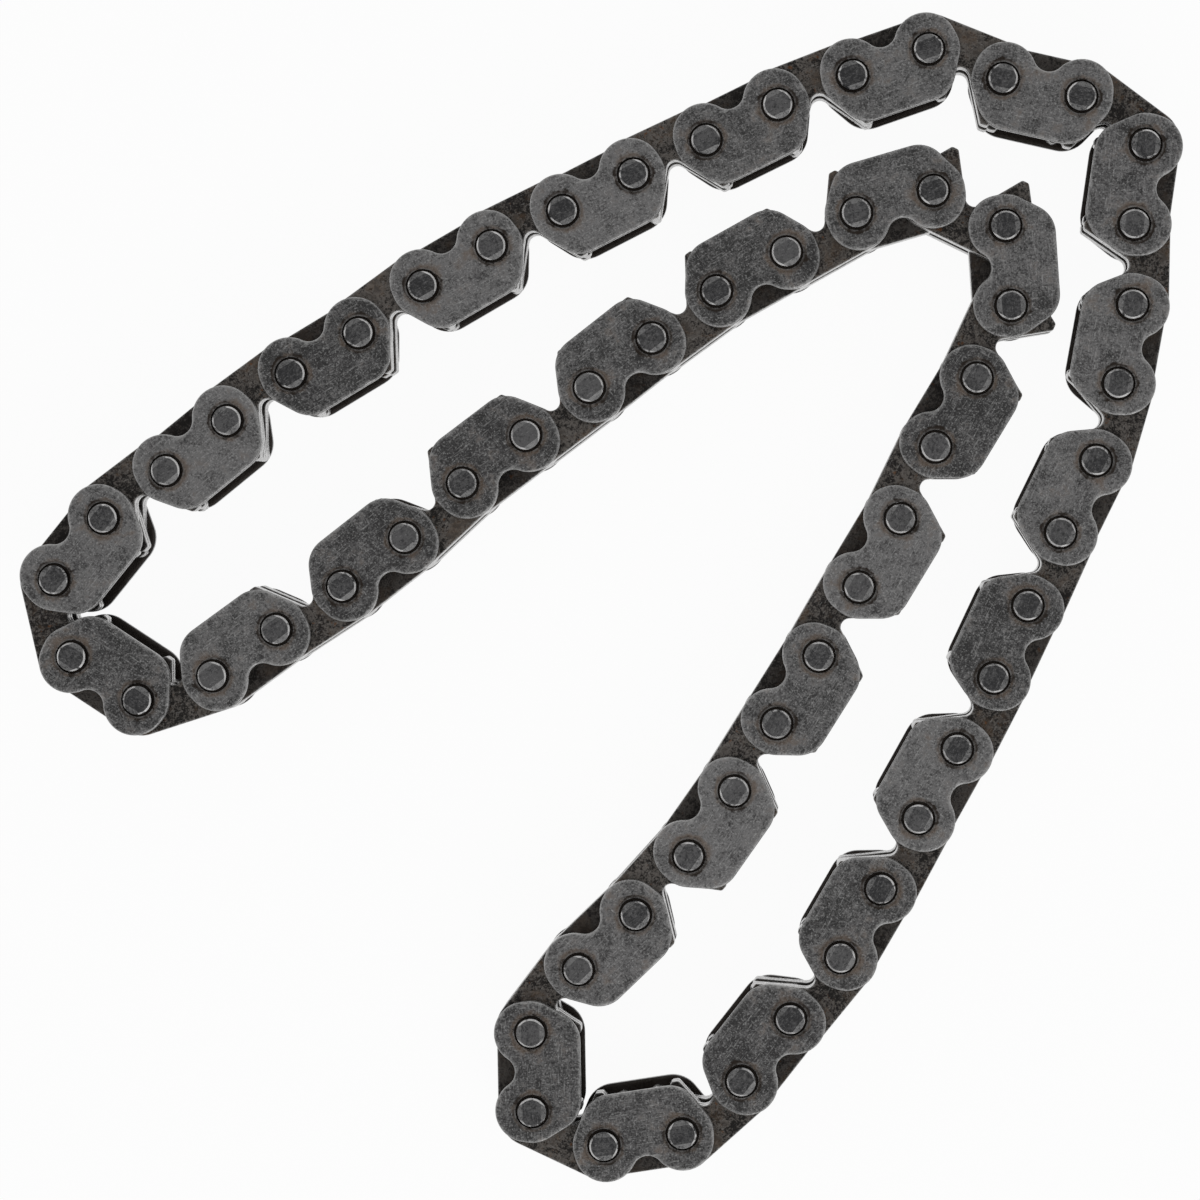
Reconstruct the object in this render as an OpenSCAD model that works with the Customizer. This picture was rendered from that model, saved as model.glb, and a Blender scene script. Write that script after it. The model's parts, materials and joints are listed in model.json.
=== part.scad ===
// Silent chain: an endless chain of inverted-tooth plates, lying on its side in a bent loop.
// Every second link carries two outer guide plates that straddle the sprocket.
// X points right and Y up in the plan view. Z runs along the pins, which stand on z = 0.

/* [Chain] */
// Distance between neighbouring pins
pitch = 9.525; // [9.4:0.005:12.7]
// Toothed plates side by side in one bundle
bundle = 2; // [1:1:4]
// Side play between neighbouring plates
side_play = 0.05; // [0.03:0.01:0.15]

/* [Toothed plates] */
// Thickness of one toothed plate
plate_t = 1.5; // [0.8:0.05:3]
// Radius of a plate's end around its pin
plate_end_r = 3.5; // [2.9:0.05:4]
// Height of the flat back above the pin line
back_h = 4.4; // [4.1:0.05:5.5]
// Depth of the tooth tips below the pin line
tooth_h = 5.8; // [5:0.05:5.9]
// Angle of the tooth flanks to the tooth's own axis
tooth_angle = 34; // [32:0.5:36]
// Depth of the crotch floor below the pin line
crotch_drop = 0.4; // [0.1:0.05:0.8]
// Radius of the crotch between the two teeth
crotch_r = 1.1; // [0.8:0.05:1.4]
// Radius of the tooth tip corners
tip_r = 0.4; // [0.1:0.05:0.5]

/* [Guide plates] */
// Thickness of one guide plate
guide_t = 1.2; // [0.8:0.05:2]
// Radius of a guide's end and of its two lobes
guide_end_r = 3.78; // [3:0.01:3.85]
// Height of the lobe centres above the pin line
lobe_rise = 0.67; // [0.3:0.01:1.2]
// Distance of the lobe centres inwards from the pins
lobe_in = 0.1; // [0:0.01:0.5]
// Height of the notch floor between the lobes above the pin line
notch_floor = 2; // [1.2:0.05:2.6]
// Depth of the straight lower edge below the pin line
guide_drop = 5.9; // [5.2:0.05:6]
// Angle of the guide's lower flanks to the vertical
guide_angle = 31; // [30:0.5:38]
// Radius of the lower corners
guide_corner_r = 2.1; // [1:0.05:2.5]

/* [Pins] */
// Diameter of the pin's shank
pin_d = 3.9; // [2.8:0.02:4.2]
// Diameter of the turned-down pin ends
pin_tip_d = 3.44; // [2.6:0.02:3.6]
// Height of each pin end above its guide plate
pin_proud = 0.9; // [0.4:0.05:1.5]
// Depth of the ring groove between pin end and guide plate
groove_depth = 0.6; // [0.3:0.05:0.7]
// Width of the chamfer on the pin ends
pin_chamfer = 0.2; // [0.1:0.05:0.3]
// Distance of the end facets from the pin's axis
facet_reach = 1.1; // [0.7:0.05:1.3]
// Slope of the end facets
facet_angle = 22; // [10:1:30]
// Radial clearance of a pin in the plates of its own link
seat_clearance = 0.02; // [0.01:0.01:0.05]
// Radial clearance of a pin in the plates that turn on it
running_clearance = 0.05; // [0.02:0.01:0.1]
// Radial clearance round the joining pin in the plates that turn on it
joining_clearance = 1.1; // [0.9:0.05:1.2]

/* [Hidden] */
$fn = 96;

// Headings of the links in loop order, in degrees from +X. Two more links close the ring.
lay_headings = [
    51, 37, 39, 36, 31, 36, 30, 26, 27, 25, 26, 21, 19,
    -22, -13, -37, -98, -91, -100, -106, -116, -114, -115, -117, -119, -118, -120, -129, -128, -138,
    -171, 155, 91, 53, 44, 48, 55, 58, 58, 60, 59, 64, 59, 65,
    94, 154, -164, -151, -151, -144, -142, -143, -143, -137, -142, -147, -144, -162
];
// The joining pin that closes the ring is the second pin of this link
joining_link = 22;

// The lay: pins one pitch apart along the headings, and a last pin at the apex over the open gap
links = len(lay_headings) + 2;
open_pins = [
    for (i = 0, at = [0, 0]; i < links - 1;
         at = i < len(lay_headings) ? at + pitch * unit(lay_headings[i]) : at, i = i + 1) at
];
gap = open_pins[0] - open_pins[links - 2];
apex_rise = sqrt(pitch * pitch - gap * gap / 4);
apex = (open_pins[0] + open_pins[links - 2]) / 2 + apex_rise * [-gap.y, gap.x] / norm(gap);
ring_pins = concat(open_pins, [apex]);
ring_middle = [
    (min([for (p = ring_pins) p.x]) + max([for (p = ring_pins) p.x])) / 2,
    (min([for (p = ring_pins) p.y]) + max([for (p = ring_pins) p.y])) / 2
];
pins = [for (p = ring_pins) p - ring_middle];

// Heights of the layers, from the lower guide plate up
step = plate_t + side_play;
lower_guide_z = pin_proud;
lower_bundle_z = lower_guide_z + guide_t + side_play;
middle_bundle_z = lower_bundle_z + bundle * step;
upper_bundle_z = middle_bundle_z + bundle * step;
upper_guide_z = upper_bundle_z + bundle * step;
pin_l = upper_guide_z + guide_t + pin_proud;

// Bores, and the waist of the joining pin
seat_r = pin_d / 2 + seat_clearance;
running_r = pin_d / 2 + running_clearance;
waist_r = running_r - joining_clearance;

GUIDE_STEEL = [0.36, 0.36, 0.37];
PLATE_STEEL = [0.26, 0.25, 0.24];
PIN_STEEL = [0.46, 0.46, 0.47];

function unit(angle) = [cos(angle), sin(angle)];
function two_digits(n) = n < 10 ? str("0", n) : str(n);
function is_guide(i) = i % 2 == 0;
function link_name(i) = str(is_guide(i) ? "guide_link_" : "tooth_link_", two_digits(floor(i / 2) + 1));
function mirrored(points) = [for (k = [len(points) - 1:-1:0]) [pitch - points[k].x, points[k].y]];

// Puts a link's own frame, with its first pin at the origin and its teeth towards -Y, in its place
module at_link(i) {
    run = pins[(i + 1) % links] - pins[i];
    translate(pins[i]) rotate(atan2(run.y, run.x)) children();
}

module at_both_pins() {
    for (x = [0, pitch]) translate([x, 0]) children();
}

// Draws its children at both ends, the second time mirrored about the middle of the link
module at_both_ends() {
    children();
    translate([pitch, 0]) mirror([1, 0]) children();
}

// Outline of a toothed plate: flat back, round ends and two teeth with a round crotch between them
module toothed_outline() {
    v_apex = crotch_r * (1 / sin(tooth_angle) - 1) - crotch_drop;
    crotch_y = -crotch_drop - crotch_r;
    tip_out = -(plate_end_r - tooth_h * sin(tooth_angle)) / cos(tooth_angle);
    tip_in = pitch / 2 - (v_apex + tooth_h) * tan(tooth_angle);
    tip_run = tip_r * tan((90 - tooth_angle) / 2);
    tip_drop = [tip_run * sin(tooth_angle), tip_run * cos(tooth_angle)];
    tooth = [
        [-plate_end_r, 0],
        -plate_end_r * unit(tooth_angle),
        [tip_out - tip_drop.x, tip_drop.y - tooth_h],
        [tip_out + tip_run, -tooth_h],
        [tip_in - tip_run, -tooth_h],
        [tip_in + tip_drop.x, tip_drop.y - tooth_h],
        [pitch / 2 - crotch_r * cos(tooth_angle), crotch_y + crotch_r * sin(tooth_angle)]
    ];
    back = [[0, back_h], [-plate_end_r, back_h - plate_end_r]];
    difference() {
        union() {
            polygon(concat(tooth, mirrored(tooth), mirrored(back), back));
            at_both_pins() {
                circle(plate_end_r);
                translate([0, back_h - plate_end_r]) circle(plate_end_r);
            }
            at_both_ends() for (x = [tip_out + tip_run, tip_in - tip_run])
                translate([x, tip_r - tooth_h]) circle(tip_r);
        }
        translate([pitch / 2, crotch_y]) circle(crotch_r);
    }
}

// Outline of a guide plate: two lobes with a notch between them, and a straight lower edge
module guide_outline() {
    lobe = [lobe_in, lobe_rise];
    lobe_side = guide_end_r * [-lobe.y, lobe.x] / norm(lobe);
    half_span = pitch / 2 - lobe.x;
    floor_rise = notch_floor - lobe.y;
    notch_r = (half_span * half_span + floor_rise * floor_rise - guide_end_r * guide_end_r)
        / (2 * (guide_end_r - floor_rise));
    notch = [pitch / 2, notch_floor + notch_r];
    edge_end = -(guide_end_r - guide_drop * sin(guide_angle)) / cos(guide_angle);
    corner_run = guide_corner_r * tan((90 - guide_angle) / 2);
    corner_drop = [corner_run * sin(guide_angle), corner_run * cos(guide_angle)];
    flank = [
        lobe,
        -guide_end_r * unit(guide_angle),
        [edge_end - corner_drop.x, corner_drop.y - guide_drop],
        [edge_end + corner_run, -guide_drop]
    ];
    difference() {
        union() {
            polygon(concat([notch], flank, mirrored(flank)));
            at_both_ends() {
                circle(guide_end_r);
                translate(lobe) circle(guide_end_r);
                polygon([lobe_side, lobe + lobe_side, lobe - lobe_side, -lobe_side]);
                translate([edge_end + corner_run, guide_corner_r - guide_drop]) circle(guide_corner_r);
            }
        }
        translate(notch) circle(notch_r);
    }
}

module toothed_plate(z, bore_r) {
    color(PLATE_STEEL) translate([0, 0, z]) linear_extrude(plate_t) difference() {
        toothed_outline();
        at_both_pins() circle(bore_r);
    }
}

module guide_plate(z) {
    color(GUIDE_STEEL) translate([0, 0, z]) linear_extrude(guide_t) difference() {
        guide_outline();
        at_both_pins() circle(seat_r);
    }
}

module bundle_of_plates(z, bore_r) {
    for (k = [0:bundle - 1]) toothed_plate(z + k * step, bore_r);
}

// Two sloped facets that leave a flat band across the upper end of a pin
module end_facets() {
    for (side = [-1, 1])
        translate([0, side * facet_reach, pin_l])
            rotate([-side * facet_angle, 0, 0])
                translate([-pin_d, side < 0 ? -pin_d : 0, 0]) cube([2 * pin_d, pin_d, pin_d]);
}

// A pin: shank, turned-down ends with a chamfer, and facets on both end faces
module pin(shank_r) {
    tip = pin_tip_d / 2;
    shoulder = pin_proud + groove_depth;
    half_profile = [
        [0, 0],
        [tip - pin_chamfer, 0],
        [tip, pin_chamfer],
        [tip, shoulder],
        [pin_d / 2, shoulder],
        [pin_d / 2, lower_bundle_z - side_play],
        [shank_r, lower_bundle_z - side_play],
        [shank_r, middle_bundle_z],
        [pin_d / 2, middle_bundle_z]
    ];
    upper_half = [for (k = [len(half_profile) - 1:-1:0]) [half_profile[k].x, pin_l - half_profile[k].y]];
    color(PIN_STEEL) difference() {
        rotate_extrude() polygon(concat(half_profile, upper_half));
        end_facets();
        translate([0, 0, pin_l]) mirror([0, 0, 1]) end_facets();
    }
}

// A guide link: two guide plates, the middle bundle and the two pins that they hold
module guide_link(i) {
    for (z = [lower_guide_z, upper_guide_z]) guide_plate(z);
    bundle_of_plates(middle_bundle_z, seat_r);
    pin(pin_d / 2);
    translate([pitch, 0]) pin(i == joining_link ? waist_r : pin_d / 2);
}

// A tooth link: the two outer bundles, which turn on the pins of the guide links beside it
module tooth_link() {
    for (z = [lower_bundle_z, upper_bundle_z]) bundle_of_plates(z, running_r);
}

module chain_link(i) {
    at_link(i) if (is_guide(i)) guide_link(i); else tooth_link();
}

for (i = [0:links - 1]) {
    chain_link(i);
}
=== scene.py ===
import json
import math
import random

import bmesh
import bpy
from bpy.props import FloatProperty, FloatVectorProperty, PointerProperty
from mathutils import Matrix, Vector
from mathutils.geometry import tessellate_polygon


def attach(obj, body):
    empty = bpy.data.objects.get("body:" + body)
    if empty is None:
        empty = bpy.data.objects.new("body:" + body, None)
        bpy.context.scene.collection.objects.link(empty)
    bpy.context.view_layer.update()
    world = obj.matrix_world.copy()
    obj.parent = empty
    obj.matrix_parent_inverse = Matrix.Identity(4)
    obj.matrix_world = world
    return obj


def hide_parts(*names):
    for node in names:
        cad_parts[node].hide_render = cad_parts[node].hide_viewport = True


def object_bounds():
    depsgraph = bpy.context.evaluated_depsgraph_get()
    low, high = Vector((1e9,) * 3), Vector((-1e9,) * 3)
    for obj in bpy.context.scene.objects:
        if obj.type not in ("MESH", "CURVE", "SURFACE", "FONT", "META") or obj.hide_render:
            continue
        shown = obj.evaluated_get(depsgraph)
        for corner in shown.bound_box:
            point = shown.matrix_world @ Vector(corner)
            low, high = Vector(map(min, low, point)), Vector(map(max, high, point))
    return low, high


bl_info = {
    "name": "Silent chain",
    "version": (1, 0, 0),
    "blender": (4, 5, 0),
    "location": "View3D > Sidebar > Silent chain",
    "description": "Dresses every link of an endless inverted-tooth chain and sets a white stage round it",
    "category": "Add Mesh",
}

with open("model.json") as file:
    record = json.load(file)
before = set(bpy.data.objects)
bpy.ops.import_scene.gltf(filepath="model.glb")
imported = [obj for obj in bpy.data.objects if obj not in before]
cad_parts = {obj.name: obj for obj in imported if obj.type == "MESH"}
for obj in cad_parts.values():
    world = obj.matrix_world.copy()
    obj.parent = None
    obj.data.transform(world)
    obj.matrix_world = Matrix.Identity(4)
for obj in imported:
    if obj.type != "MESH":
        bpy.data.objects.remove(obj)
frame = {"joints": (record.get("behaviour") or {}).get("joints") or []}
CAD_LOW, CAD_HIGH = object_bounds()

MM = 0.001
SAME_PLACE = 1e-6 * MM
PIN_TOLERANCE = 0.02 * MM

# The floor lies a little below the part. Its white share shows no shadow, the rest does.
FLOOR_GAP = 0.05 * MM
FLOOR_HALF = 3.0
FLOOR_WHITE = 0.95

# Width of the camera's frame in mm
FRAME_WIDTH = 36

# Headings of the links in loop order, in degrees from +X. Two more links close the ring.
LAY_HEADINGS = (
    51, 37, 39, 36, 31, 36, 30, 26, 27, 25, 26, 21, 19,
    -22, -13, -37, -98, -91, -100, -106, -116, -114, -115, -117, -119, -118, -120, -129, -128, -138,
    -171, 155, 91, 53, 44, 48, 55, 58, 58, 60, 59, 64, 59, 65,
    94, 154, -164, -151, -151, -144, -142, -143, -143, -137, -142, -147, -144, -162,
)

# Place in the loop of the guide link whose second pin joins the ring
JOINING_LINK = 22

# Toothed plates that lie side by side
BUNDLE = 2

# How finely curves are drawn, and the angle from which a pin's edge is crisp
ARC_STEP = math.radians(7)
BORE_POINTS = 36
PIN_POINTS = 48
EDGE_STEPS = 3
SHARP_ON_PINS = math.radians(17)

# Noise scales of the steels, per millimetre
CLOUD_SCALE = 0.33
MOTTLE_SCALE = 1.25
SPECKLE_SCALE = 2.6
GRAIN_SCALE = 5.2

# Material slots of a guide link
GUIDE, PLATE, PIN = 0, 1, 2


def length(name, description, millimetres):
    """A size in metres that the sidebar shows in the scene's units"""
    return FloatProperty(
        name=name, description=description, default=millimetres * MM, unit="LENGTH", precision=4
    )


def angle(name, description, degrees):
    return FloatProperty(
        name=name, description=description, default=math.radians(degrees), subtype="ANGLE", unit="ROTATION"
    )


def place(name, description, metres):
    return FloatVectorProperty(
        name=name, description=description, default=metres,
        size=3, subtype="TRANSLATION", unit="LENGTH", precision=4,
    )


def power(name, description, watts):
    return FloatProperty(name=name, description=description, default=watts, min=0, unit="POWER")


def colour(name, description, rgb):
    return FloatVectorProperty(
        name=name, description=description, default=rgb, size=3, min=0, max=1, subtype="COLOR"
    )


def share(name, description, value):
    return FloatProperty(name=name, description=description, default=value, min=0, max=1, subtype="FACTOR")


class ChainSizes(bpy.types.PropertyGroup):
    """Sizes of the link plates and pins"""

    pitch: length("Pitch", "Distance between neighbouring pins", 9.525)
    side_play: length("Side play", "Gap between neighbouring plates", 0.05)
    plate_t: length("Plate thickness", "Thickness of one toothed plate", 1.5)
    plate_end_r: length("Plate end radius", "Radius of a plate's end around its pin", 3.5)
    back_h: length("Back height", "Height of the flat back above the pin line", 4.4)
    tooth_h: length("Tooth depth", "Depth of the tooth tips below the pin line", 5.8)
    tooth_angle: angle("Tooth angle", "Angle of the flanks to the tooth's own axis", 34)
    crotch_drop: length("Crotch depth", "Depth of the crotch floor below the pin line", 0.4)
    crotch_r: length("Crotch radius", "Radius of the crotch between the two teeth", 1.1)
    tip_r: length("Tip radius", "Radius of the tooth tip corners", 0.4)
    guide_t: length("Guide thickness", "Thickness of one guide plate", 1.2)
    guide_end_r: length("Guide end radius", "Radius of a guide's end and of its two lobes", 3.78)
    lobe_rise: length("Lobe rise", "Height of the lobe centres above the pin line", 0.67)
    lobe_in: length("Lobe inset", "Distance of the lobe centres inwards from the pins", 0.1)
    notch_floor: length("Notch floor", "Height of the notch floor above the pin line", 2.0)
    guide_drop: length("Guide depth", "Depth of the straight lower edge below the pin line", 5.9)
    guide_angle: angle("Guide angle", "Angle of the guide's lower flanks to the vertical", 31)
    guide_corner_r: length("Guide corner radius", "Radius of the lower corners", 3.6)
    pin_d: length("Pin diameter", "Diameter of the pin's shank", 3.9)
    pin_tip_d: length("Pin end diameter", "Diameter of the turned-down pin ends", 3.44)
    pin_proud: length("Pin end height", "Height of each pin end above its guide plate", 0.9)
    groove_depth: length("Groove depth", "Depth of the ring groove round a pin end", 0.6)
    pin_chamfer: length("Pin chamfer", "Width of the chamfer on the pin ends", 0.2)
    facet_reach: length("Facet reach", "Distance of the end facets from the pin's axis", 1.1)
    facet_angle: angle("Facet angle", "Slope of the facets on the pin ends", 22)
    seat_clearance: length("Seat clearance", "Radial clearance of a pin in its own link's plates", 0.02)
    running_clearance: length("Running clearance", "Radial clearance of a pin in moving plates", 0.05)
    joining_clearance: length("Joining clearance", "Radial clearance round the joining pin's waist", 1.1)
    # The rims are bands along the edges that the steels paint lighter, partly for wear and partly as a
    # painted highlight.
    guide_edge: length("Guide edge radius", "Radius of a guide plate's tumbled edges", 0.2)
    guide_rim: length("Guide rim", "Width of the worn band along a guide plate's edges", 0.28)
    plate_edge: length("Plate edge radius", "Radius of a toothed plate's edges", 0.1)
    plate_rim: length("Plate rim", "Width of the worn band along a toothed plate's edges", 0.16)
    bore_edge: length("Bore edge radius", "Radius of the edges round the pin holes", 0.07)


class ChainFinish(bpy.types.PropertyGroup):
    """Colours of the steel, its edge wear and its stains, and of the painted shade and highlights"""

    guide_light: colour("Guide, light", "Scoured patches on the guide plates", (0.119, 0.117, 0.117))
    guide_dark: colour("Guide, dark", "Darker film on the guide plates", (0.022, 0.0215, 0.0215))
    plate_light: colour("Plate, light", "Rubbed patches on the toothed plates", (0.086, 0.078, 0.071))
    # The dark plate colour is also painted as shade on the toothed plates in the middle of the stack.
    plate_dark: colour("Plate, dark", "Oily film on the toothed plates", (0.006, 0.005, 0.0045))
    pin_light: colour("Pin, light", "Bare steel on the pin ends", (0.071, 0.070, 0.071))
    pin_dark: colour("Pin, dark", "Dull film on the pin ends", (0.018, 0.018, 0.019))
    # The edge colour also paints a highlight along the plates' rims, and the flank colour paints one round
    # the pin ends' chamfers.
    edge_steel: colour("Worn edge", "Bare steel along worn edges", (0.30, 0.298, 0.295))
    flank_steel: colour("Flank", "Sheared and rubbed steel on the sides of the plates", (0.55, 0.545, 0.54))
    # This colour paints real oil stains. It is also the painted shade on the guides' inner faces, in the
    # pin holes, in the groove and round the pins.
    oil_stain: colour("Oil stain", "Burnt oil in the corners and round the pins", (0.012, 0.008, 0.0055))
    varnish: colour("Varnish", "Old oil baked brown round the pins", (0.080, 0.052, 0.032))
    rust: colour("Rust", "Small spots of rust", (0.135, 0.058, 0.022))
    metal: share("Metal", "How much of the surface is bare metal under its film", 0.82)


class StageSettings(bpy.types.PropertyGroup):
    """Where the camera stands, and the light"""

    camera_at: place("Camera", "Where the camera stands", (0.02674, 0.01020, 0.52639))
    looks_at: place("Looks at", "The point in the middle of the picture", (0.00055, -0.00003, 0.01355))
    focal: FloatProperty(
        name="Focal length", description="Lens for a 36 mm wide frame", default=128.95, unit="CAMERA"
    )
    floor_colour: colour("Floor", "Colour of the floor", (0.95, 0.95, 0.95))
    surround: FloatProperty(
        name="Surround", description="Strength of the even light from all round", default=0.35, min=0, max=1
    )
    key_power: power("Key light", "Power of the large lamp", 2.2)
    fill_power: power("Fill light", "Power of the small lamps", 0.4)
    top_power: power("Top light", "Power of the lamp overhead", 1.2)


def sizes():
    return bpy.context.scene.silent_chain_sizes


def finish():
    return bpy.context.scene.silent_chain_finish


# Outlines, in a link's own frame: first pin at the origin, second pin on +X, teeth towards -Y


def arc(centre, radius, start, end):
    """Points along an arc, its two ends included. Angles are in degrees."""
    steps = max(2, math.ceil(abs(math.radians(end - start)) / ARC_STEP))
    angles = [math.radians(start + (end - start) * k / steps) for k in range(steps + 1)]
    return [(centre[0] + radius * math.cos(a), centre[1] + radius * math.sin(a)) for a in angles]


def whole(half, pitch):
    """The outline made of a left half, from the top down, and its mirror image"""
    return half + [(pitch - x, y) for x, y in reversed(half) if pitch / 2 - x > SAME_PLACE]


def toothed_outline(s):
    a, h = s.tooth_angle, s.tooth_h
    v_apex = s.crotch_r * (1 / math.sin(a) - 1) - s.crotch_drop
    tip_out = -(s.plate_end_r - h * math.sin(a)) / math.cos(a)
    tip_in = s.pitch / 2 - (v_apex + h) * math.tan(a)
    tip_run = s.tip_r * math.tan((math.pi / 2 - a) / 2)
    turn = math.degrees(a)
    half = arc((0, s.back_h - s.plate_end_r), s.plate_end_r, 90, 180)
    half += arc((0, 0), s.plate_end_r, 180, 180 + turn)
    half += arc((tip_out + tip_run, s.tip_r - h), s.tip_r, 180 + turn, 270)
    half += arc((tip_in - tip_run, s.tip_r - h), s.tip_r, 270, 360 - turn)
    half += arc((s.pitch / 2, -s.crotch_drop - s.crotch_r), s.crotch_r, 180 - turn, 90)
    return whole(half, s.pitch)


def guide_outline(s):
    r, g = s.guide_end_r, s.guide_angle
    half_span = s.pitch / 2 - s.lobe_in
    floor_rise = s.notch_floor - s.lobe_rise
    notch_r = (half_span**2 + floor_rise**2 - r**2) / (2 * (r - floor_rise))
    notch_y = s.notch_floor + notch_r
    lobe_turn = math.degrees(math.atan2(notch_y - s.lobe_rise, half_span))
    side_turn = math.degrees(math.atan2(s.lobe_in, -s.lobe_rise))
    edge_end = -(r - s.guide_drop * math.sin(g)) / math.cos(g)
    corner_run = s.guide_corner_r * math.tan((math.pi / 2 - g) / 2)
    turn = math.degrees(g)
    half = arc((s.pitch / 2, notch_y), notch_r, 270, 180 + lobe_turn)
    half += arc((s.lobe_in, s.lobe_rise), r, lobe_turn, side_turn)[1:]
    half += arc((0, 0), r, side_turn, 180 + turn)
    half += arc((edge_end + corner_run, s.guide_corner_r - s.guide_drop), s.guide_corner_r, 180 + turn, 270)
    return whole(half, s.pitch)


def bore(x, radius):
    """A pin hole's outline, which runs clockwise so that the plate lies on its left"""
    turns = [-2 * math.pi * k / BORE_POINTS for k in range(BORE_POINTS)]
    return [(x + radius * math.cos(t), radius * math.sin(t)) for t in turns]


def moved_in(loop, distance):
    """The loop moved to its left, into the plate"""
    out = []
    for k, here in enumerate(loop):
        into, away = Vector(here) - Vector(loop[k - 1]), Vector(loop[(k + 1) % len(loop)]) - Vector(here)
        left = (into.normalized() + away.normalized()).normalized().orthogonal()
        out.append(tuple(Vector(here) + left * distance / left.dot(into.normalized().orthogonal())))
    return out


class Blank:
    """Points, faces and paint values of a link in its own frame"""

    def __init__(self):
        self.points, self.rim, self.wall, self.piece = [], [], [], []
        self.faces, self.steel = [], []
        self.pieces = 0

    def ring(self, loop, z, rim, wall):
        first = len(self.points)
        self.points += [(x, y, z) for x, y in loop]
        self.rim += [rim] * len(loop)
        self.wall += [wall] * len(loop)
        self.piece += [self.pieces] * len(loop)
        return list(range(first, first + len(loop)))

    def face(self, corners, steel):
        self.faces.append(tuple(corners))
        self.steel.append(steel)

    def band(self, low, high, steel):
        for k in range(len(low)):
            n = (k + 1) % len(low)
            self.face((low[k], low[n], high[n], high[k]), steel)

    def cap(self, rings, steel, up):
        flat = [index for ring in rings for index in ring]
        loops = [[Vector(self.points[index][:2]).to_3d() for index in ring] for ring in rings]
        for tri in tessellate_polygon(loops):
            a, b, c = (flat[t] for t in tri)
            pa, pb, pc = (Vector(self.points[i][:2]) for i in (a, b, c))
            turns_left = (pb - pa).cross(pc - pa) > 0
            self.face((a, b, c) if turns_left == up else (a, c, b), steel)

    def plate(self, outline, bore_r, z, thickness, edge, rim, steel):
        """A stamped plate with rounded edges and two pin holes"""
        s = sizes()
        lows, highs = [], []
        loops = [(outline, edge, rim)] + [(bore(x, bore_r), s.bore_edge, rim) for x in (0, s.pitch)]
        for loop, rounding, band in loops:
            below = [(rounding + band, 0.0, 0.0, 0.0)]
            for k in range(EDGE_STEPS + 1):
                turn = math.pi / 2 * k / EDGE_STEPS
                below.append(
                    (rounding * (1 - math.sin(turn)), rounding * (1 - math.cos(turn)), 1.0, k / EDGE_STEPS)
                )
            above = [(inset, thickness - rise, wear_and_sheen, wall) for inset, rise, wear_and_sheen, wall in reversed(below)]
            rings = []
            for inset, rise, wear_and_sheen, wall in below + above:
                rings.append(self.ring(moved_in(loop, inset), z + rise, wear_and_sheen, wall))
            for low, high in zip(rings, rings[1:]):
                self.band(low, high, steel)
            lows.append(rings[0])
            highs.append(rings[-1])
        self.cap(lows, steel, False)
        self.cap(highs, steel, True)
        self.pieces += 1

    def add(self, points, faces, wall, steel, offset):
        """A piece made elsewhere, such as a pin"""
        first = len(self.points)
        self.points += [(x + offset, y, z) for x, y, z in points]
        self.rim += [0.0] * len(points)
        self.wall += wall
        self.piece += [self.pieces] * len(points)
        for corners in faces:
            self.face([first + c for c in corners], steel)
        self.pieces += 1


class Layers:
    """Heights of the layers, from the lower guide plate up"""

    def __init__(self, s):
        self.step = s.plate_t + s.side_play
        self.lower_guide = s.pin_proud
        self.lower_bundle = self.lower_guide + s.guide_t + s.side_play
        self.middle_bundle = self.lower_bundle + BUNDLE * self.step
        self.upper_bundle = self.middle_bundle + BUNDLE * self.step
        self.upper_guide = self.upper_bundle + BUNDLE * self.step
        self.pin_l = self.upper_guide + s.guide_t + s.pin_proud


def turned_pin(s, shank_r):
    """A pin turned from its half profile, with two facets cut on each end"""
    z = Layers(s)
    tip, shoulder = s.pin_tip_d / 2, s.pin_proud + s.groove_depth
    half = [
        (tip - s.pin_chamfer, 0),
        (tip, s.pin_chamfer),
        (tip, shoulder),
        (s.pin_d / 2, shoulder),
        (s.pin_d / 2, z.lower_bundle - s.side_play),
        (shank_r, z.lower_bundle - s.side_play),
        (shank_r, z.middle_bundle),
        (s.pin_d / 2, z.middle_bundle),
    ]
    profile = half + [(r, z.pin_l - h) for r, h in reversed(half)]
    # On a pin without a waist some of these points fall together
    profile = [p for k, p in enumerate(profile) if k == 0 or p != profile[k - 1]]
    bm = bmesh.new()
    rings = []
    for r, h in profile:
        turns = [2 * math.pi * k / PIN_POINTS for k in range(PIN_POINTS)]
        rings.append([bm.verts.new((r * math.cos(t), r * math.sin(t), h)) for t in turns])
    for low, high in zip(rings, rings[1:]):
        for k in range(PIN_POINTS):
            n = (k + 1) % PIN_POINTS
            bm.faces.new((low[k], low[n], high[n], high[k]))
    bm.faces.new(list(reversed(rings[0])))
    bm.faces.new(rings[-1])
    bmesh.ops.remove_doubles(bm, verts=bm.verts[:], dist=SAME_PLACE)
    for end, up in ((z.pin_l, 1), (0, -1)):
        for side in (-1, 1):
            away = Vector((0, side * math.sin(s.facet_angle), up * math.cos(s.facet_angle)))
            cut = bmesh.ops.bisect_plane(
                bm, geom=bm.verts[:] + bm.edges[:] + bm.faces[:], plane_co=(0, side * s.facet_reach, end),
                plane_no=away, clear_outer=True,
            )
            edges = [e for e in cut["geom_cut"] if isinstance(e, bmesh.types.BMEdge)]
            bmesh.ops.edgeloop_fill(bm, edges=edges)
    bmesh.ops.recalc_face_normals(bm, faces=bm.faces[:])
    bm.verts.index_update()
    points = [tuple(v.co) for v in bm.verts]
    faces = [[v.index for v in f.verts] for f in bm.faces]
    bm.free()
    heights = [point[2] for point in points]
    wall = [1.0 if min(h, z.pin_l - h) > 2 * s.pin_chamfer else 0.0 for h in heights]
    return points, faces, wall


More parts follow.
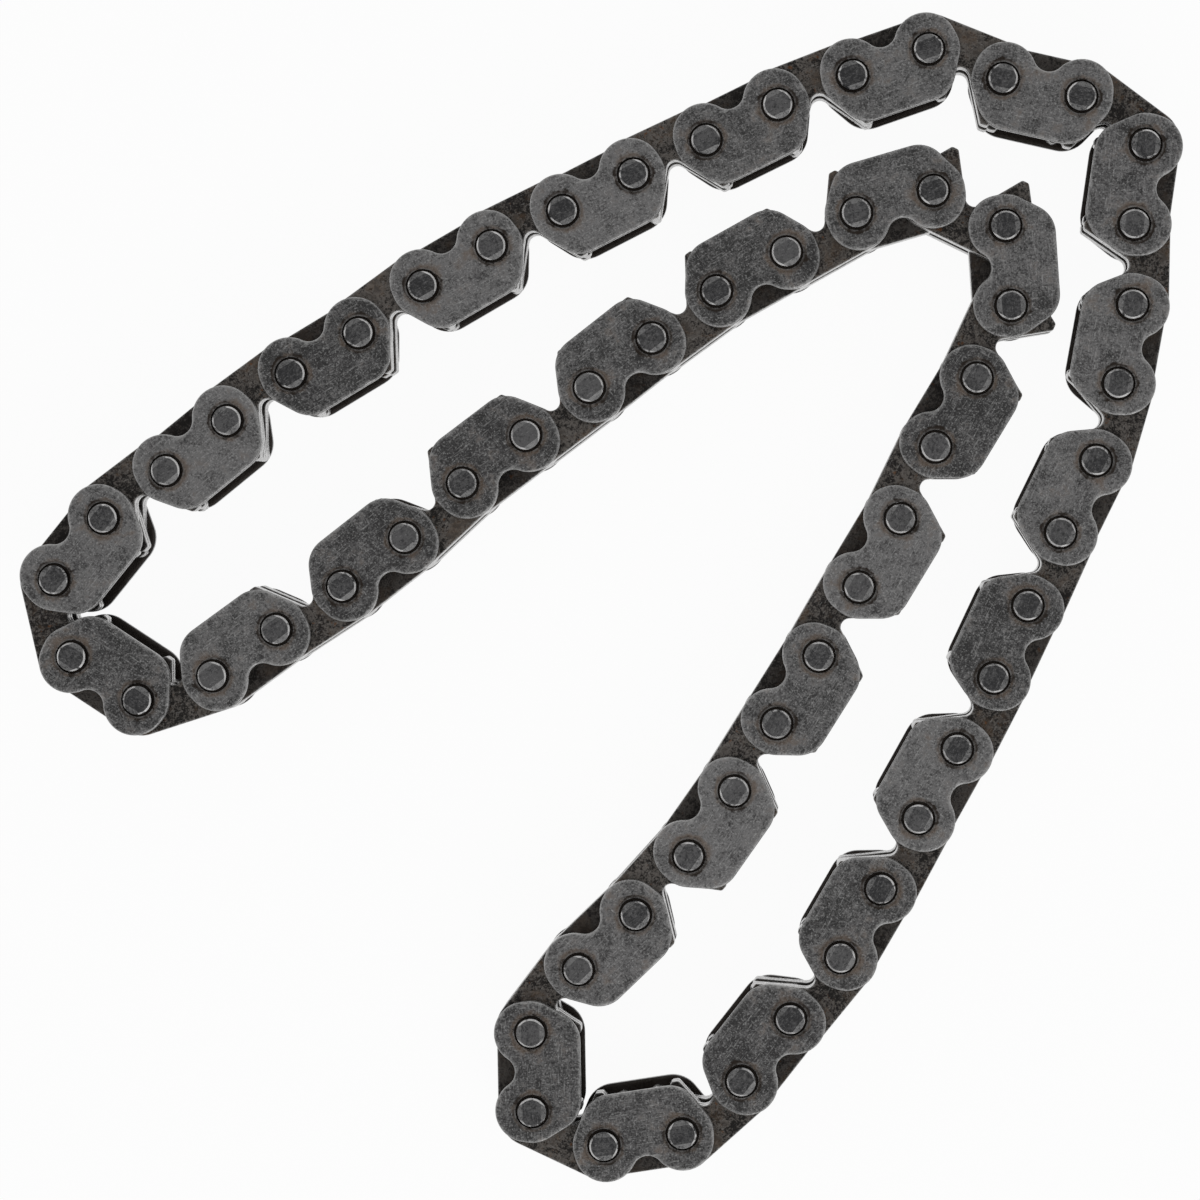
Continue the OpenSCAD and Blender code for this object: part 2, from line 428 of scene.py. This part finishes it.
def pin_places():
    """The pins' plan positions in metres, laid along the headings and closed by a last pin over the gap"""
    pitch = sizes().pitch
    pins = [Vector((0, 0))]
    for heading in LAY_HEADINGS:
        turn = math.radians(heading)
        pins.append(pins[-1] + pitch * Vector((math.cos(turn), math.sin(turn))))
    gap = pins[0] - pins[-1]
    rise = math.sqrt(pitch**2 - gap.length_squared / 4)
    pins.append((pins[0] + pins[-1]) / 2 + rise * Vector((-gap.y, gap.x)).normalized())
    middle = Vector([(min(p[k] for p in pins) + max(p[k] for p in pins)) / 2 for k in (0, 1)])
    pins = [p - middle for p in pins]
    for joint in frame["joints"]:
        at = pins[int(joint["name"].removeprefix("hinge_")) - 1]
        if (at - Vector(joint["pos_m"][:2])).length > PIN_TOLERANCE:
            raise RuntimeError(f"{joint['name']} isn't where the lay puts its pin")
    return pins


def link_place(index, pins):
    here, there = pins[index], pins[(index + 1) % len(pins)]
    run = there - here
    return Matrix.Translation((here.x, here.y, 0)) @ Matrix.Rotation(math.atan2(run.y, run.x), 4, "Z")


def link_name(index):
    return f"{'tooth' if index % 2 else 'guide'}_link_{index // 2 + 1:02d}"


def put_link(index, pins, blank, steels):
    """Makes a link's mesh where its CAD node is, with the values that its paint reads"""
    name = link_name(index)
    to_lay = link_place(index, pins)
    mesh = bpy.data.meshes.new(f"{name}_plates")
    mesh.from_pydata([to_lay @ Vector(p) for p in blank.points], [], blank.faces)
    for material in steels:
        mesh.materials.append(material)
    mesh.polygons.foreach_set("material_index", blank.steel)
    mesh.polygons.foreach_set("use_smooth", [True] * len(blank.faces))
    draw = random.Random(index)
    tones = [draw.random() for _ in range(blank.pieces)]
    paint = {"rim": blank.rim, "wall": blank.wall, "tone": [tones[p] for p in blank.piece]}
    for key, values in paint.items():
        mesh.attributes.new(key, "FLOAT", "POINT").data.foreach_set("value", values)
    spot = mesh.attributes.new("spot", "FLOAT_VECTOR", "POINT")
    spot.data.foreach_set("vector", [c / MM for p in blank.points for c in p])
    if PIN in blank.steel:
        crisp_pin_edges(mesh)
    piece = bpy.data.objects.new(f"{name}_dressed", mesh)
    bpy.context.scene.collection.objects.link(piece)
    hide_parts(name)
    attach(piece, name)


def crisp_pin_edges(mesh):
    bm = bmesh.new()
    bm.from_mesh(mesh)
    for edge in bm.edges:
        if edge.link_faces[0].material_index == PIN and edge.calc_face_angle(0) > SHARP_ON_PINS:
            edge.smooth = False
    bm.to_mesh(mesh)
    bm.free()


# Shaders


class Wire:
    """A socket that carries a number. Arithmetic on it adds Math nodes."""

    def __init__(self, paint, socket):
        self.paint, self.socket = paint, socket

    def __add__(self, other):
        return self.paint.math("ADD", self, other)

    def __sub__(self, other):
        return self.paint.math("SUBTRACT", self, other)

    def __rsub__(self, other):
        return self.paint.math("SUBTRACT", other, self)

    def __mul__(self, other):
        return self.paint.math("MULTIPLY", self, other)

    __radd__, __rmul__ = __add__, __mul__


class Paint:
    """A node tree under work"""

    def __init__(self, tree):
        self.tree = tree
        tree.nodes.clear()

    def node(self, kind, settings=None, sockets=None, out=0):
        """Makes a node, sets its settings, then its sockets, and gives one of its outputs"""
        node = self.tree.nodes.new(kind)
        for key, value in (settings or {}).items():
            setattr(node, key, value)
        for key, value in (sockets or {}).items():
            if isinstance(value, Wire):
                self.tree.links.new(value.socket, node.inputs[key])
            else:
                node.inputs[key].default_value = value
        return Wire(self, node.outputs[out]) if node.outputs else node

    def math(self, operation, a, b):
        return self.node("ShaderNodeMath", {"operation": operation}, {0: a, 1: b})

    def lesser(self, a, b):
        return self.math("MINIMUM", a, b)

    def greater(self, a, b):
        return self.math("MAXIMUM", a, b)

    def mix(self, factor, first, second):
        """One colour over another"""
        first, second = (v if isinstance(v, Wire) else (*v, 1) for v in (first, second))
        return self.node("ShaderNodeMix", {"data_type": "RGBA"}, {0: factor, 6: first, 7: second}, 2)

    def ramp(self, value, low, high):
        """0 up to low, 1 from high on, and a smooth rise between them"""
        return self.node(
            "ShaderNodeMapRange", {"interpolation_type": "SMOOTHSTEP"},
            {"Value": value, "From Min": low, "From Max": high},
        )

    def noise(self, at, scale, detail, roughness, distortion=0.0):
        sockets = {"Vector": at, "Scale": scale, "Detail": detail, "Roughness": roughness}
        return self.node("ShaderNodeTexNoise", {}, {**sockets, "Distortion": distortion})

    def stored(self, name, out):
        return self.node("ShaderNodeAttribute", {"attribute_name": name}, {}, out)

    def scaled(self, at, factors):
        return self.node("ShaderNodeVectorMath", {"operation": "MULTIPLY"}, {0: at, 1: factors})

    def distance(self, at, point):
        return self.node("ShaderNodeVectorMath", {"operation": "DISTANCE"}, {0: at, 1: point}, "Value")


class Steel:
    """What every steel surface of the chain shares: places to measure from, grain, scratches and stains"""

    def __init__(self, name):
        self.material = bpy.data.materials.new(name)
        self.material.use_nodes = True
        p = self.paint = Paint(self.material.node_tree)
        self.rim, self.wall, self.tone = (p.stored(key, "Fac") for key in ("rim", "wall", "tone"))
        self.at = p.scaled(p.node("ShaderNodeTexCoord", out="Object"), (1 / MM,) * 3)
        self.spot = p.stored("spot", "Vector")
        flat_spot = p.scaled(self.spot, (1, 1, 0))
        pitch = sizes().pitch / MM
        self.from_pin = p.lesser(p.distance(flat_spot, (0, 0, 0)), p.distance(flat_spot, (pitch, 0, 0)))
        self.clouds = p.noise(self.at, CLOUD_SCALE, 5, 0.62) - 0.5
        self.mottle = p.noise(self.at, MOTTLE_SCALE, 5, 0.66, 0.5) - 0.5
        self.speckle = p.noise(self.at, SPECKLE_SCALE, 3, 0.6) - 0.5
        self.grain = p.noise(self.at, GRAIN_SCALE, 3, 0.62) - 0.5

    def film(self, clouds, mottle, grain, tone):
        """0 where the surface is darkest and 1 where it is scoured bare, from swings about the middle"""
        fine = (self.grain + self.speckle) * grain
        mixed = 0.5 + self.clouds * clouds + self.mottle * mottle + fine + (self.tone - 0.5) * tone
        return self.paint.ramp(mixed, 0.0, 1.0)

    def inside(self, low, high):
        """1 within a height of low above or below the chain's middle plane, and 0 from high on, in mm"""
        p = self.paint
        height = p.node("ShaderNodeSeparateXYZ", {}, {0: self.spot}, "Z")
        middle = Layers(sizes()).pin_l / 2 / MM
        return 1 - p.ramp(p.math("ABSOLUTE", height - middle, 0.0), low, high)

    def slope(self, low, high):
        """1 where the surface leans from the pins' axis by an angle from low to high, in degrees"""
        p = self.paint
        normal = p.node("ShaderNodeTexCoord", out="Normal")
        upright = p.math("ABSOLUTE", p.node("ShaderNodeSeparateXYZ", {}, {0: normal}, "Z"), 0.0)
        lean, steep = (math.cos(math.radians(turn)) for turn in (low, high))
        return p.ramp(upright, steep - 0.02, steep + 0.02) * (1 - p.ramp(upright, lean - 0.02, lean + 0.02))

    def scratches(self, stretch, low, high):
        """Fine lines along one direction of the link"""
        p = self.paint
        return p.ramp(p.noise(p.scaled(self.spot, stretch), 1.0, 3, 0.5, 0.35), low, high)

    def specks(self, scale, low, high):
        p = self.paint
        return p.ramp(p.noise(self.at, scale, 2, 0.5), low, high)

    def flank(self):
        """1 on the sides of a plate, 0 on its faces and in its pin holes"""
        return self.wall * self.paint.ramp(self.from_pin, 2.0, 2.5)

    def cut(self):
        """The marks that punching leaves on the sides of a plate, from one face to the other"""
        return self.scratches((4.5, 4.5, 0.4), 0.35, 0.65)

    def close(self, base, metal, rough, height, depth):
        """Ends in the one shader, with the bump that the height gives"""
        p = self.paint
        normal = p.node("ShaderNodeBump", {}, {"Strength": 1.0, "Distance": depth, "Height": height})
        shader = p.node(
            "ShaderNodeBsdfPrincipled", {},
            {"Base Color": base, "Metallic": metal, "Roughness": rough, "Normal": normal},
        )
        p.node("ShaderNodeOutputMaterial", {}, {"Surface": shader})
        return self.material


def guide_steel():
    """Tumbled grey steel with a mottled film, pale edges (wear and a painted highlight), brown oil round
    the pins, and painted shade on the inner faces, in the pin holes and round the pins
    """
    f, k = finish(), Steel("guide_steel")
    p = k.paint
    base = p.mix(k.film(1.7, 1.2, 1.1, 0.5), f.guide_dark, f.guide_light)
    lines = p.greater(k.scratches((0.7, 7.5, 1.0), 0.58, 0.7), k.scratches((6.5, 0.8, 1.0), 0.6, 0.72))
    base = p.mix(lines * 0.34, base, f.edge_steel)
    bright = k.specks(4.2, 0.54, 0.7)
    base = p.mix(bright * 0.4, base, f.edge_steel)
    pits = k.specks(2.2, 0.62, 0.74)
    base = p.mix(pits * 0.4, base, f.guide_dark)
    bore_r = sizes().pin_d / 2 / MM
    near_pin = 1 - p.ramp(k.from_pin, bore_r, bore_r + 1.1)
    varnished = p.ramp(near_pin * 0.5 + k.clouds * 1.8 + k.mottle * 0.8, 0.1, 0.6)
    base = p.mix(varnished * 0.6, base, f.varnish)
    oil = p.ramp(near_pin * 0.5 + k.mottle * 1.6 + k.clouds * 0.6, 0.34, 0.72)
    base = p.mix(oil * 0.7, base, f.oil_stain)
    # A near-black ring round each pin hole: partly oil, and partly painted shade that widens the shade of
    # the gap round the pin end.
    ring = 1 - p.ramp(k.from_pin + k.mottle * 0.9 + k.clouds * 2.4, bore_r + 0.15, bore_r + 0.42)
    base = p.mix(ring * 0.98, base, f.oil_stain)
    # Edges painted lighter: partly real wear, and partly a painted highlight along the rounded edges.
    wear_and_sheen = k.rim * p.ramp(k.mottle + k.grain * 0.7, -0.2, 0.2)
    base = p.mix(wear_and_sheen * 0.38, base, f.edge_steel)
    base = p.mix(k.flank() * (0.5 + k.cut() * 0.25), base, f.flank_steel)
    # Painted shade: the inner faces of the guide plates, which look onto the toothed plates, and the inner
    # halves of their sides are darkened nearly to black.
    base = p.mix(k.inside(4.8, 5.3) * 0.92, base, f.oil_stain)
    # The walls of the pin holes are painted dark: partly oil, and partly painted shade in the hole.
    base = p.mix(k.wall - k.flank(), base, f.oil_stain)
    rough = p.greater(0.48 + k.grain * 0.5 - wear_and_sheen * 0.1 + pits * 0.15, 0.25)
    height = (k.grain + k.mottle * 0.6 - pits * 0.6 - lines * 0.25) * (1 - k.wall * 0.7)
    return k.close(base, f.metal, rough, height, 0.02 * MM)


def plate_steel():
    """Dark hardened steel under an oil film, stained brown, with bright rubbed sides, pale edges (wear and
    a painted highlight), and painted shade on the middle plates and in the pin holes
    """
    f, k = finish(), Steel("plate_steel")
    p = k.paint
    base = p.mix(k.film(2.2, 2.8, 2.0, 0.4), f.plate_dark, f.plate_light)
    scuffs = k.scratches((1.1, 8.0, 1.0), 0.61, 0.73)
    base = p.mix(scuffs * 0.2, base, f.edge_steel)
    base = p.mix(p.ramp(k.clouds - k.mottle * 0.5, 0.02, 0.2) * 0.4, base, f.varnish)
    oil = p.ramp(k.clouds * 1.4 + k.mottle * 1.6, 0.04, 0.34)
    base = p.mix(oil * 0.6, base, f.oil_stain)
    rusty = k.specks(1.1, 0.68, 0.76)
    base = p.mix(rusty * 0.5, base, f.rust)
    # Painted shade: toothed plates in the middle of the stack, seen through the notches and gaps, are
    # darkened.
    base = p.mix(k.inside(2.0, 4.0) * 0.5, base, f.plate_dark)
    # Edges painted lighter: partly real wear, and partly a painted highlight along the rounded edges.
    wear_and_sheen = k.rim * p.ramp(k.mottle + k.grain * 0.7, -0.1, 0.25)
    base = p.mix(wear_and_sheen * 0.4, base, f.edge_steel)
    base = p.mix(k.flank() * (0.6 + k.cut() * 0.35), base, f.flank_steel)
    # The walls of the pin holes are painted dark: partly oil, and partly painted shade in the hole.
    base = p.mix(k.wall - k.flank(), base, f.oil_stain)
    rough = p.greater(0.5 + k.grain * 0.5 - k.wall * 0.24 + rusty * 0.2, 0.2)
    height = (k.grain + k.mottle * 0.7 - scuffs * 0.3) * (1 - k.wall * 0.7)
    return k.close(base, f.metal, rough, height, 0.02 * MM)


def pin_steel():
    """Ground pin ends with a bright chamfer that is partly a painted highlight, and the shank and groove
    painted near black, partly oil and partly painted shade
    """
    f, k = finish(), Steel("pin_steel")
    p = k.paint
    base = p.mix(k.film(0.8, 1.3, 1.3, 0.5), f.pin_dark, f.pin_light)
    lines = k.scratches((3.0, 10.0, 1.0), 0.58, 0.72)
    base = p.mix(lines * 0.25, base, f.edge_steel)
    facet = k.slope(18, 27) * p.ramp(k.mottle + k.grain, -0.3, 0.1)
    base = p.mix(facet * 0.3, base, f.edge_steel)
    # The chamfer round each pin end painted bright: partly bare rubbed steel, and partly a painted
    # highlight ring.
    wear_and_sheen = k.slope(38, 60) * p.ramp(k.mottle + k.clouds, -0.2, 0.06)
    base = p.mix(wear_and_sheen * 0.95, base, f.flank_steel)
    # The shank and the sides of the pin ends, down in the groove, painted near black: partly oil, and
    # partly painted shade.
    base = p.mix(k.wall * 0.95, base, f.oil_stain)
    rough = p.greater(0.47 + k.grain * 0.5 - wear_and_sheen * 0.12, 0.25)
    height = k.grain + k.mottle * 0.5 - lines * 0.3
    return k.close(base, f.metal, rough, height, 0.018 * MM)


def steel(name, make):
    """A finish that several operators share, made once"""
    return bpy.data.materials.get(name) or make()


class GuideLinks(bpy.types.Operator):
    """Guide links: two guide plates, the middle toothed plates and two pins each"""

    bl_idname = "silent_chain.guide_links"
    bl_label = "Guide links"

    def execute(self, context):
        s = sizes()
        z = Layers(s)
        steels = [steel(make.__name__, make) for make in (guide_steel, plate_steel, pin_steel)]
        pins = pin_places()
        seat_r = s.pin_d / 2 + s.seat_clearance
        waist_r = s.pin_d / 2 + s.running_clearance - s.joining_clearance
        guide, toothed = guide_outline(s), toothed_outline(s)
        plain_pin, joining_pin = turned_pin(s, s.pin_d / 2), turned_pin(s, waist_r)
        for index in range(0, len(LAY_HEADINGS) + 2, 2):
            blank = Blank()
            for height in (z.lower_guide, z.upper_guide):
                blank.plate(guide, seat_r, height, s.guide_t, s.guide_edge, s.guide_rim, GUIDE)
            for k in range(BUNDLE):
                height = z.middle_bundle + k * z.step
                blank.plate(toothed, seat_r, height, s.plate_t, s.plate_edge, s.plate_rim, PLATE)
            blank.add(*plain_pin, PIN, 0)
            blank.add(*(joining_pin if index == JOINING_LINK else plain_pin), PIN, s.pitch)
            put_link(index, pins, blank, steels)
        return {"FINISHED"}


class ToothLinks(bpy.types.Operator):
    """Tooth links: the outer bundles of toothed plates, which turn on the guide links' pins"""

    bl_idname = "silent_chain.tooth_links"
    bl_label = "Tooth links"

    def execute(self, context):
        s = sizes()
        z = Layers(s)
        running_r = s.pin_d / 2 + s.running_clearance
        toothed = toothed_outline(s)
        steels = [steel("plate_steel", plate_steel)]
        pins = pin_places()
        for index in range(1, len(LAY_HEADINGS) + 2, 2):
            blank = Blank()
            for bundle in (z.lower_bundle, z.upper_bundle):
                for k in range(BUNDLE):
                    height = bundle + k * z.step
                    blank.plate(toothed, running_r, height, s.plate_t, s.plate_edge, s.plate_rim, 0)
            put_link(index, pins, blank, steels)
        return {"FINISHED"}


class Stage(bpy.types.Operator):
    """White floor, even surround, soft lamps and the camera"""

    bl_idname = "silent_chain.stage"
    bl_label = "Stage"

    def execute(self, context):
        scene, t = context.scene, context.scene.silent_chain_stage
        scene.view_settings.view_transform = "Standard"
        self.surround(scene, t)
        self.floor(scene, t)
        self.lamp(scene, "key_lamp", (0.35, -0.75, 0.55), 0.6, t.key_power)
        self.lamp(scene, "top_lamp", (0.15, -0.2, 1.1), 1.0, t.top_power)
        self.lamp(scene, "left_lamp", (-0.8, 0.05, 0.5), 0.5, t.fill_power)
        self.lamp(scene, "back_lamp", (0.2, 0.85, 0.6), 0.5, t.fill_power)
        self.camera(scene, t)
        return {"FINISHED"}

    def surround(self, scene, t):
        """Lights evenly, and is white where the camera, metal or glass shows it"""
        world = bpy.data.worlds.new("surround")
        world.use_nodes = True
        scene.world = world
        p = Paint(world.node_tree)
        light = p.node("ShaderNodeBackground", {}, {"Color": (1, 1, 1, 1), "Strength": t.surround})
        white = p.node("ShaderNodeBackground", {}, {"Color": (1, 1, 1, 1), "Strength": 1.0})
        shown = p.node("ShaderNodeMixShader", {}, {0: self.seen(p), 1: light, 2: white})
        p.node("ShaderNodeOutputWorld", {}, {"Surface": shown})

    def seen(self, p):
        """1 for rays from the camera, and for those that metal or glass sends on"""
        kinds = ("Is Camera Ray", "Is Glossy Ray", "Is Transmission Ray")
        camera, glossy, clear = (p.node("ShaderNodeLightPath", out=kind) for kind in kinds)
        return p.greater(camera, p.greater(glossy, clear))

    def floor(self, scene, t):
        corners = [(x * FLOOR_HALF, y * FLOOR_HALF, 0) for x, y in ((-1, -1), (1, -1), (1, 1), (-1, 1))]
        mesh = bpy.data.meshes.new("floor")
        mesh.from_pydata(corners, [], [(0, 1, 2, 3)])
        material = bpy.data.materials.new("white_floor")
        material.use_nodes = True
        p = Paint(material.node_tree)
        lit = p.node("ShaderNodeBsdfDiffuse", {}, {"Color": (*t.floor_colour, 1)})
        white = p.node("ShaderNodeEmission", {}, {"Color": (1, 1, 1, 1), "Strength": 1.0})
        shown = p.node("ShaderNodeMixShader", {}, {0: self.seen(p) * FLOOR_WHITE, 1: lit, 2: white})
        p.node("ShaderNodeOutputMaterial", {}, {"Surface": shown})
        mesh.materials.append(material)
        floor = bpy.data.objects.new("floor", mesh)
        floor.location.z = CAD_LOW.z - FLOOR_GAP
        scene.collection.objects.link(floor)

    def lamp(self, scene, name, at, size, watts):
        data = bpy.data.lights.new(name, "AREA")
        data.shape, data.size, data.energy = "DISK", size, watts
        lamp = bpy.data.objects.new(name, data)
        lamp.location = at
        lamp.rotation_euler = (-Vector(at)).to_track_quat("-Z", "Y").to_euler()
        scene.collection.objects.link(lamp)

    def camera(self, scene, t):
        at, to = Vector(t.camera_at), Vector(t.looks_at)
        back = (at - to).normalized()
        right = Vector((0, 1, 0)).cross(back).normalized()
        data = bpy.data.cameras.new("camera")
        data.lens, data.sensor_width = t.focal, FRAME_WIDTH
        camera = bpy.data.objects.new("camera", data)
        turn = Matrix((right, back.cross(right), back)).transposed().to_4x4()
        camera.matrix_world = Matrix.Translation(at) @ turn
        scene.collection.objects.link(camera)
        scene.camera = camera


class SilentChainPanel(bpy.types.Panel):
    """Sizes, finish and steps of the silent chain"""

    bl_idname = "VIEW3D_PT_silent_chain"
    bl_label = "Silent chain"
    bl_space_type = "VIEW_3D"
    bl_region_type = "UI"
    bl_category = "Silent chain"

    def draw(self, context):
        for step in STEPS:
            self.layout.operator(step.bl_idname)
        for name in GROUPS:
            group = getattr(context.scene, name)
            box = self.layout.box()
            box.label(text=type(group).__doc__)
            for key in type(group).__annotations__:
                box.prop(group, key)


GROUPS = {
    "silent_chain_sizes": ChainSizes,
    "silent_chain_finish": ChainFinish,
    "silent_chain_stage": StageSettings,
}
STEPS = (GuideLinks, ToothLinks, Stage)


def register():
    for cls in (*GROUPS.values(), *STEPS, SilentChainPanel):
        bpy.utils.register_class(cls)
    for key, cls in GROUPS.items():
        setattr(bpy.types.Scene, key, PointerProperty(type=cls))


def unregister():
    for key in GROUPS:
        delattr(bpy.types.Scene, key)
    for cls in (SilentChainPanel, *STEPS, *GROUPS.values()):
        bpy.utils.unregister_class(cls)


def main():
    register()
    bpy.ops.silent_chain.guide_links()
    bpy.ops.silent_chain.tooth_links()
    bpy.ops.silent_chain.stage()
    bpy.context.view_layer.update()


if __name__ == "__main__":
    main()
